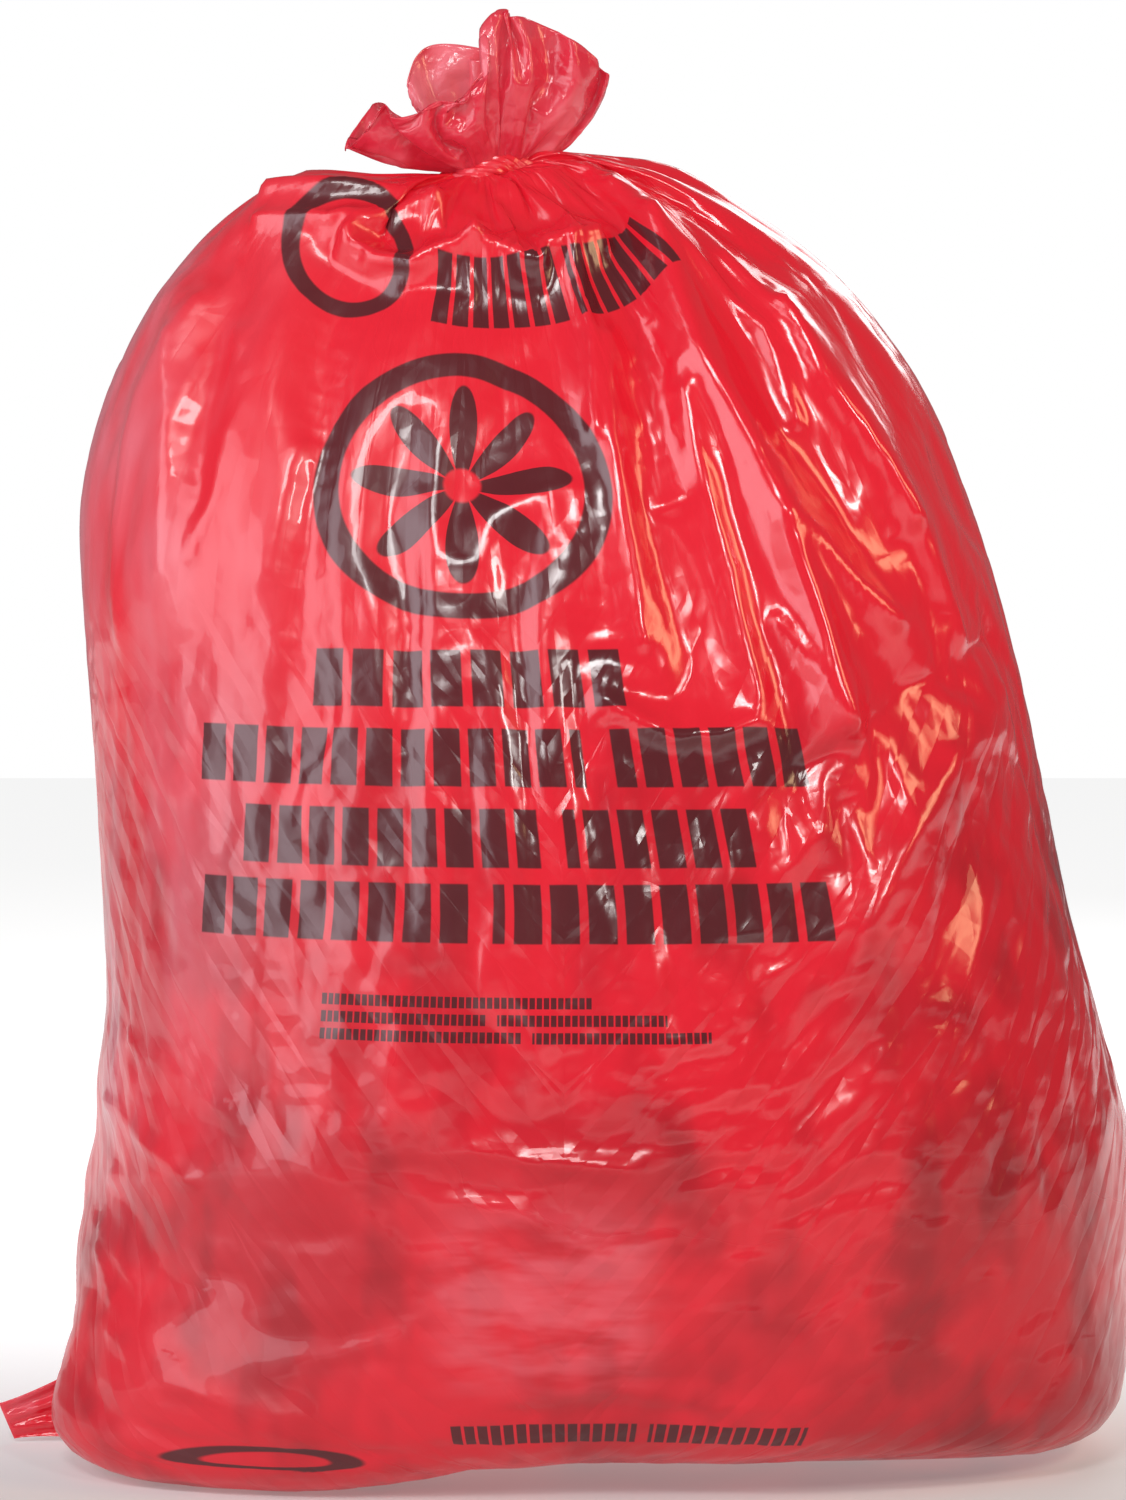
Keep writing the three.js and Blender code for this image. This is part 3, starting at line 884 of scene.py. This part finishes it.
# %% Wires
class Wire:
    """One output of a shader node. Operators on it add Math nodes."""

    def __init__(self, tree, output=None):
        self.tree = tree
        self.output = output

    def node(self, kind, settings=None, values=None, out=0):
        """A node of this type: settings come first, then input values or wires."""
        made = self.tree.nodes.new(kind)
        for name, value in (settings or {}).items():
            setattr(made, name, value)
        for key, value in (values or {}).items():
            if isinstance(value, Wire):
                self.tree.links.new(value.output, made.inputs[key])
            else:
                made.inputs[key].default_value = value
        return Wire(self.tree, made.outputs[out])

    def maths(self, operation, *values):
        return self.node("ShaderNodeMath", {"operation": operation}, dict(enumerate(values)))

    def __add__(self, other):
        return self.maths("ADD", self, other)

    def __radd__(self, other):
        return self.maths("ADD", other, self)

    def __sub__(self, other):
        return self.maths("SUBTRACT", self, other)

    def __rsub__(self, other):
        return self.maths("SUBTRACT", other, self)

    def __mul__(self, other):
        return self.maths("MULTIPLY", self, other)

    def __rmul__(self, other):
        return self.maths("MULTIPLY", other, self)

    def __truediv__(self, other):
        return self.maths("DIVIDE", self, other)

    def __rtruediv__(self, other):
        return self.maths("DIVIDE", other, self)

    def step(self, low, high):
        """0 below low, 1 above high, and smooth between them. Low may be above high."""
        names = {"Value": self, "From Min": low, "From Max": high}
        return self.node("ShaderNodeMapRange", {"interpolation_type": "SMOOTHSTEP"}, names)

    def size(self):
        return self.maths("ABSOLUTE", self)

    def part(self, axis):
        """One of the three parts of a vector."""
        return self.node("ShaderNodeSeparateXYZ", values={0: self}, out=axis)

    def larger(self, other):
        return self.maths("MAXIMUM", self, other)

    def vector(self, operation, other, out=0):
        values = {0: self, "Scale" if operation == "SCALE" else 1: other}
        return self.node("ShaderNodeVectorMath", {"operation": operation}, values, out)

    def noise(self, scale, detail=2.0, rough=0.5):
        values = {"Vector": self, "Scale": scale, "Detail": detail, "Roughness": rough}
        return self.node("ShaderNodeTexNoise", {}, values, "Fac")

    def tinted(self, low, high):
        """Self is the factor from one colour or wire to the other."""
        settings = {"data_type": "RGBA"}
        return self.node("ShaderNodeMix", settings, {0: self, 6: low, 7: high}, 2)


def new_material(name):
    """A material, a wire to start from, and its Principled node's inputs."""
    made = bpy.data.materials.new(name)
    made.use_nodes = True
    surface = made.node_tree.nodes["Principled BSDF"].inputs
    return made, Wire(made.node_tree), surface


def plug(wire, socket):
    wire.tree.links.new(wire.output, socket)


# %% [markdown]
# ## What is printed
#
# The bag is printed with plain shapes in one dark ink: a ring with a rosette of eight leaves,
# rows of blocks, and two ovals. Each is a little arithmetic on the flat film's own map, so the
# ink bends with every fold. Everything is measured in millimetres on the flat film, from its
# middle and from its bottom edge.

# %% Printed shapes
# Each row of blocks is its left and right end, bottom, top, pitch, and the ends of its gap.
BLOCK_ROWS = [
    (-143, 52, 405, 434, 24.4, None),
    (-208, 150, 365, 394, 19.9, (20, 37)),
    (-178, 108, 325, 354, 19.1, (-10, 4)),
    (-203, 147, 288, 317, 19.4, (-50, -37)),
    (-126, 14, 256.5, 262, 3.6, None),
    (-126, 52, 248, 253.5, 3.6, (-40, -34)),
    (-126, 74, 239.5, 245, 3.6, (-22, -16)),
    (-62, 130, 34, 46, 7, (40, 47)),
    (-84, 214, 608, 646, 22, (70, 82)),
]
RING_CENTRE = (-45, 521)
RING = (58, 71)
RING_STRETCH = 1.55
ROSETTE = 53
LEAVES = 8
# Each oval is its middle, its half width and half height, and its line width.
OVALS = [(-190, 638, 76, 36, 9), (-152, 15, 42, 13, 5)]


def between(value, low, high, soft):
    return value.step(low - soft, low + soft) * value.step(high + soft, high - soft)


def block_row(u, v, left, right, bottom, top, pitch, gap):
    """Upright blocks with narrow spaces between them."""
    soft = min(0.5, 0.05 * pitch)
    cell = (u - left) / pitch
    place = (cell.maths("FRACT", cell) - 0.5).size()
    inside = place.step(0.40, 0.36)
    row = between(u, left, right, soft) * between(v, bottom, top, soft) * inside
    return row * (1 - between(u, *gap, soft)) if gap else row


def oval(u, v, across, up, half_width, half_height, width):
    """A plain ring, drawn as an ellipse."""
    x, y = (u - across) / half_width, (v - up) / half_height
    away = (x * x + y * y).maths("SQRT", x * x + y * y) * half_height
    return ((away - half_height + width / 2).size() - width / 2).step(0.6, -0.6)


def rosette(u, v):
    """A ring round eight leaves, drawn wide because the gathered film narrows it."""
    x, y = (u - RING_CENTRE[0]) / RING_STRETCH, v - RING_CENTRE[1]
    away = (x * x + y * y).maths("SQRT", x * x + y * y)
    turn = x.maths("ARCTAN2", y, x) * (LEAVES / 2)
    leaf = turn.maths("COSINE", turn).size() * ROSETTE
    leaves = (away - leaf).step(0.8, -0.8) * away.step(8, 10)
    return between(away, *RING, 0.6).larger(leaves)


def printed(u, v):
    """1 where there is ink."""
    ink = rosette(u, v)
    for row in BLOCK_ROWS:
        ink = ink.larger(block_row(u, v, *row))
    for line in OVALS:
        ink = ink.larger(oval(u, v, *line))
    return ink


# %% [markdown]
# ## The film's finish
#
# Polythene film is glossy on top of a colour that light has passed through, so it looks evenly
# bright and saturated, and a weak glow of its own colour stands for that light. The gloss itself
# is duller at the left and sharp at the right, and at the left a milky sheen is painted into the
# colour, as the reflection of a broad light. The body's film is opaque here, so what would show
# through it is painted on: darker blotches low down for the waste. Low down the right side is also
# darkened, as painted shade, and over the packet a pale streaky patch is a painted sheen where the
# film lies flat on it. Creases that are too fine for the mesh are left to a bump: long thin ones
# that run up the film towards the knot, a crumple of flat facets, and low down fine drapes that
# slant towards the middle.

# %% Film material
FILM_RED = (0.62, 0.010, 0.024, 1)
FILM_DEEP = (0.26, 0.006, 0.012, 1)
# Painted light: the pale of a sheen, and of light coming through thin film.
PAINTED_LIGHT_PINK = (0.72, 0.16, 0.20, 1)
# A painted sheen: the milky reflection of a broad light at the left.
PAINTED_SHEEN_MILKY = (0.60, 0.30, 0.36, 1)
THIN_RED = (0.56, 0.022, 0.045, 1)
INK = (0.045, 0.009, 0.012, 1)
FILM_GLOW = 0.18
DRAPE_SLANT = math.radians(50)


def creases(place, scale, height, wander, space="2D"):
    """Flat facets between sharp creases. The place wanders a little, so that none is regular."""
    kind = {"noise_dimensions": space}
    stray = place.node("ShaderNodeTexNoise", kind, {"Vector": place, "Scale": scale * 0.7}, "Color")
    strayed = place.vector("ADD", stray.vector("SCALE", wander / scale))
    settings = {"voronoi_dimensions": space, "feature": "DISTANCE_TO_EDGE"}
    values = {"Vector": strayed, "Scale": scale}
    return place.node("ShaderNodeTexVoronoi", settings, values, "Distance") * height


def body_relief(flat, high):
    """Creases up to the knot above, a crumple and slanting drapes below, and small facets."""
    upper = high.step(330, 500)
    long_creases = creases(flat.vector("MULTIPLY", (1, 0.1, 1)), 45, 1.2 * MM, 0.5)
    crumple = creases(flat, 14, 1.8 * MM, 0.9)
    turn = {"Vector": flat.vector("ABSOLUTE", (0, 0, 0)), "Angle": -DRAPE_SLANT}
    turned = flat.node("ShaderNodeVectorRotate", {"rotation_type": "Z_AXIS"}, turn)
    drapes = creases(turned.vector("MULTIPLY", (0.14, 1, 1)), 52, 3 * MM, 0.8)
    return long_creases * upper + (crumple + drapes) * (1 - upper) + creases(flat, 46, 0.5 * MM, 0.9)


def bumped(height, surface):
    """Feeds a bump of this height in metres to a surface's normal."""
    values = {"Height": height, "Distance": 1.0, "Strength": 0.7}
    plug(height.node("ShaderNodeBump", values=values), surface["Normal"])


def gloss(surface, glow, alpha):
    """The clear, sharp layer on top and the glow of light that has come through."""
    surface["Emission Strength"].default_value = glow
    surface["Specular IOR Level"].default_value = 0.5
    surface["Coat Weight"].default_value = 0.3
    surface["Coat Roughness"].default_value = 0.05
    surface["Alpha"].default_value = alpha


def body_material():
    made, wire, surface = new_material("printed film")
    here = wire.node("ShaderNodeTexCoord", out="Object")
    across, high = here.part(0) * 1000, here.part(2) * 1000
    flat = wire.node("ShaderNodeUVMap", {"uv_map": "film"}, out="UV")
    u, v = flat.part(0) * 1000, flat.part(1) * 1000

    blotch = here.noise(9, 3, 0.6).step(0.45, 0.62) * 0.4
    smudge = here.vector("MULTIPLY", (1, 1, 0.45)).noise(26, 2, 0.5).step(0.48, 0.66) * 0.35
    # The blotches are waste showing through; the darkening towards the right, low down, is painted
    # shade.
    waste_and_painted_shade = (blotch + smudge + 0.4 * across.step(120, 270)) * high.step(470, 300)
    colour = waste_and_painted_shade.tinted(FILM_RED, FILM_DEEP)
    # Over the packet a pale streaky patch is painted: a painted sheen where the film lies flat on it.
    near_packet = between(u, -62, 44, 16) * between(v, 70, 154, 18)
    streaks = flat.vector("MULTIPLY", (14, 60, 1)).noise(1, 3, 0.6).step(0.3, 0.65)
    colour = (near_packet * streaks * 0.4).tinted(colour, PAINTED_LIGHT_PINK)
    # At the left the colour is tinted milky: a painted sheen, the reflection of a broad light.
    milky_sheen_streaks = here.vector("MULTIPLY", (1, 1, 0.25)).noise(16, 3, 0.55).step(0.3, 0.7)
    painted_sheen_left = milky_sheen_streaks * across.step(-110, -260) * high.step(90, 240)
    colour = (painted_sheen_left * 0.55).tinted(colour, PAINTED_SHEEN_MILKY)
    colour = (printed(u, v) * 0.93).tinted(colour, INK)
    plug(colour, surface["Base Color"])
    plug(colour, surface["Emission Color"])
    bumped(body_relief(flat, high), surface)
    dulled = 0.13 * across.step(60, -180) + 0.12 * high.step(220, 90)
    plug(0.13 + 0.12 * here.noise(14, 2, 0.5) + dulled, surface["Roughness"])
    gloss(surface, FILM_GLOW, 1.0)
    return made


def thin_material(name, red, glow, alpha):
    """Bare film for the tuft, the knot and the ear, crumpled into small facets."""
    made, wire, surface = new_material(name)
    here = wire.node("ShaderNodeTexCoord", out="Object")
    # The pale pink patches are painted light: brighter spots where light comes through the thin film.
    colour = here.noise(30, 2, 0.5).step(0.4, 0.65).tinted(red, PAINTED_LIGHT_PINK)
    colour = here.noise(18, 2, 0.5).step(0.3, 0.7).tinted(red, colour)
    plug(colour, surface["Base Color"])
    plug(colour, surface["Emission Color"])
    bumped(creases(here, 42, 4 * MM, 0.9, "3D") + creases(here, 110, 0.8 * MM, 0.9, "3D"), surface)
    plug(0.12 + 0.14 * here.noise(20, 2, 0.5), surface["Roughness"])
    gloss(surface, glow, alpha)
    return made


body_finish = body_material()
bare_finish = thin_material("bare film", FILM_RED, FILM_GLOW, 1.0)
tuft_finish = thin_material("thin film", THIN_RED, 1.4 * FILM_GLOW, 0.86)
print("ink shapes", len(BLOCK_ROWS) + len(OVALS) + 1)

# %% Waste and floor materials
GOWN_PALE = (0.55, 0.62, 0.66, 1)
GOWN_BLUE = (0.30, 0.42, 0.52, 1)
PAD_CREAM = (0.75, 0.72, 0.62, 1)


def waste_material():
    made, wire, surface = new_material("loose waste")
    here = wire.node("ShaderNodeTexCoord", out="Object")
    cool = here.noise(7, 2, 0.5).step(0.42, 0.58).tinted(GOWN_PALE, GOWN_BLUE)
    plug(here.noise(11, 2, 0.5).step(0.55, 0.6).tinted(cool, PAD_CREAM), surface["Base Color"])
    surface["Roughness"].default_value = 0.85
    return made


def floor_material():
    """Almost white, with a light of its own that grows behind the bag and far away from it."""
    made, wire, surface = new_material("pale floor")
    here = wire.node("ShaderNodeTexCoord", out="Object")
    far = here.vector("LENGTH", (0, 0, 0), "Value").step(0.9, 1.9)
    lit = here.part(1).step(-0.3, 0.5).larger(far)
    plug(lit.tinted((0.1, 0.1, 0.1, 1), (0.8, 0.8, 0.8, 1)), surface["Emission Color"])
    surface["Emission Strength"].default_value = 1
    surface["Base Color"].default_value = (0.6, 0.6, 0.6, 1)
    surface["Roughness"].default_value = 0.9
    surface["Specular IOR Level"].default_value = 0.1
    return made


for piece, finish in (
    (body, body_finish), (ear, bare_finish), (knot, bare_finish),
    (tuft, tuft_finish), (waste, waste_material()),
):
    piece.data.materials.clear()
    piece.data.materials.append(finish)
    for polygon in piece.data.polygons:
        polygon.material_index = 0
wall = tuft.modifiers.new("wall", "SOLIDIFY")
wall.thickness = 0.4 * MM
wall.offset = -1
print("materials", [m.name for m in bpy.data.materials if m.users])

# %% [markdown]
# ## Floor, world and light
#
# The picture was cut out on to white. A wide pale floor and a white world keep that, but the
# world lights the bag only weakly, so that the film isn't washed out. Panels do the rest: a soft
# one at the left for the milky sheen, one in front, a small bright one for the sharp white glints,
# a warm one at the right, and one behind for whoever walks round the bag.

# %% Floor, world and lights
floor = piece_from("floor", [(-6, -6, 0), (6, -6, 0), (6, 6, 0), (-6, 6, 0)], [(0, 1, 2, 3)])
floor.data.materials.append(floor_material())
scene = bpy.context.scene
scene.view_settings.view_transform = "Standard"

world = bpy.data.worlds.new("studio")
world.use_nodes = True
sky = Wire(world.node_tree)
seen = sky.node("ShaderNodeLightPath", out="Is Camera Ray")
strength = 0.16 + 0.84 * seen
background = world.node_tree.nodes["Background"].inputs
background["Color"].default_value = (1, 1, 1, 1)
plug(strength, background["Strength"])
scene.world = world

LIGHTS = {
    "sheen": ((-1.9, -1.4, 1.1), (0, 0, 0.42), (1.4, 1.8), 30, (0.92, 0.93, 1.0)),
    "front": ((-0.6, -2.8, 2.4), (0, 0, 0.42), (0.8, 0.6), 36, (1, 1, 1)),
    "glint": ((1.2, -2.4, 1.6), (0.05, 0, 0.42), (0.2, 0.4), 12, (1, 0.98, 0.95)),
    "warm": ((2.0, -1.1, 1.5), (0, 0, 0.5), (0.6, 1.2), 18, (1, 0.68, 0.38)),
    "back": ((0.9, 2.3, 1.8), (0, 0, 0.42), (1.2, 1.2), 16, (1, 1, 1)),
}
for name, (place, aim, size, power, colour) in LIGHTS.items():
    lamp = bpy.data.lights.new(name, "AREA")
    lamp.shape = "RECTANGLE"
    lamp.size, lamp.size_y = size
    lamp.energy = power
    lamp.color = colour
    light = bpy.data.objects.new(name, lamp)
    scene.collection.objects.link(light)
    light.location = place
    light.rotation_euler = (Vector(aim) - Vector(place)).to_track_quat("-Z", "Y").to_euler()
print("lights", list(LIGHTS))

# %% [markdown]
# ## What each piece stands for
#
# Every piece belongs to the one body of the bag. The film's pieces take the place of the packed
# film, and the scattered waste takes the place of the plain filling.

# %% Pieces
for piece in (body, tuft, knot, ear):
    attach(piece, "root")
    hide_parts("film_bag")
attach(waste, "root")
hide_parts("waste_fill")
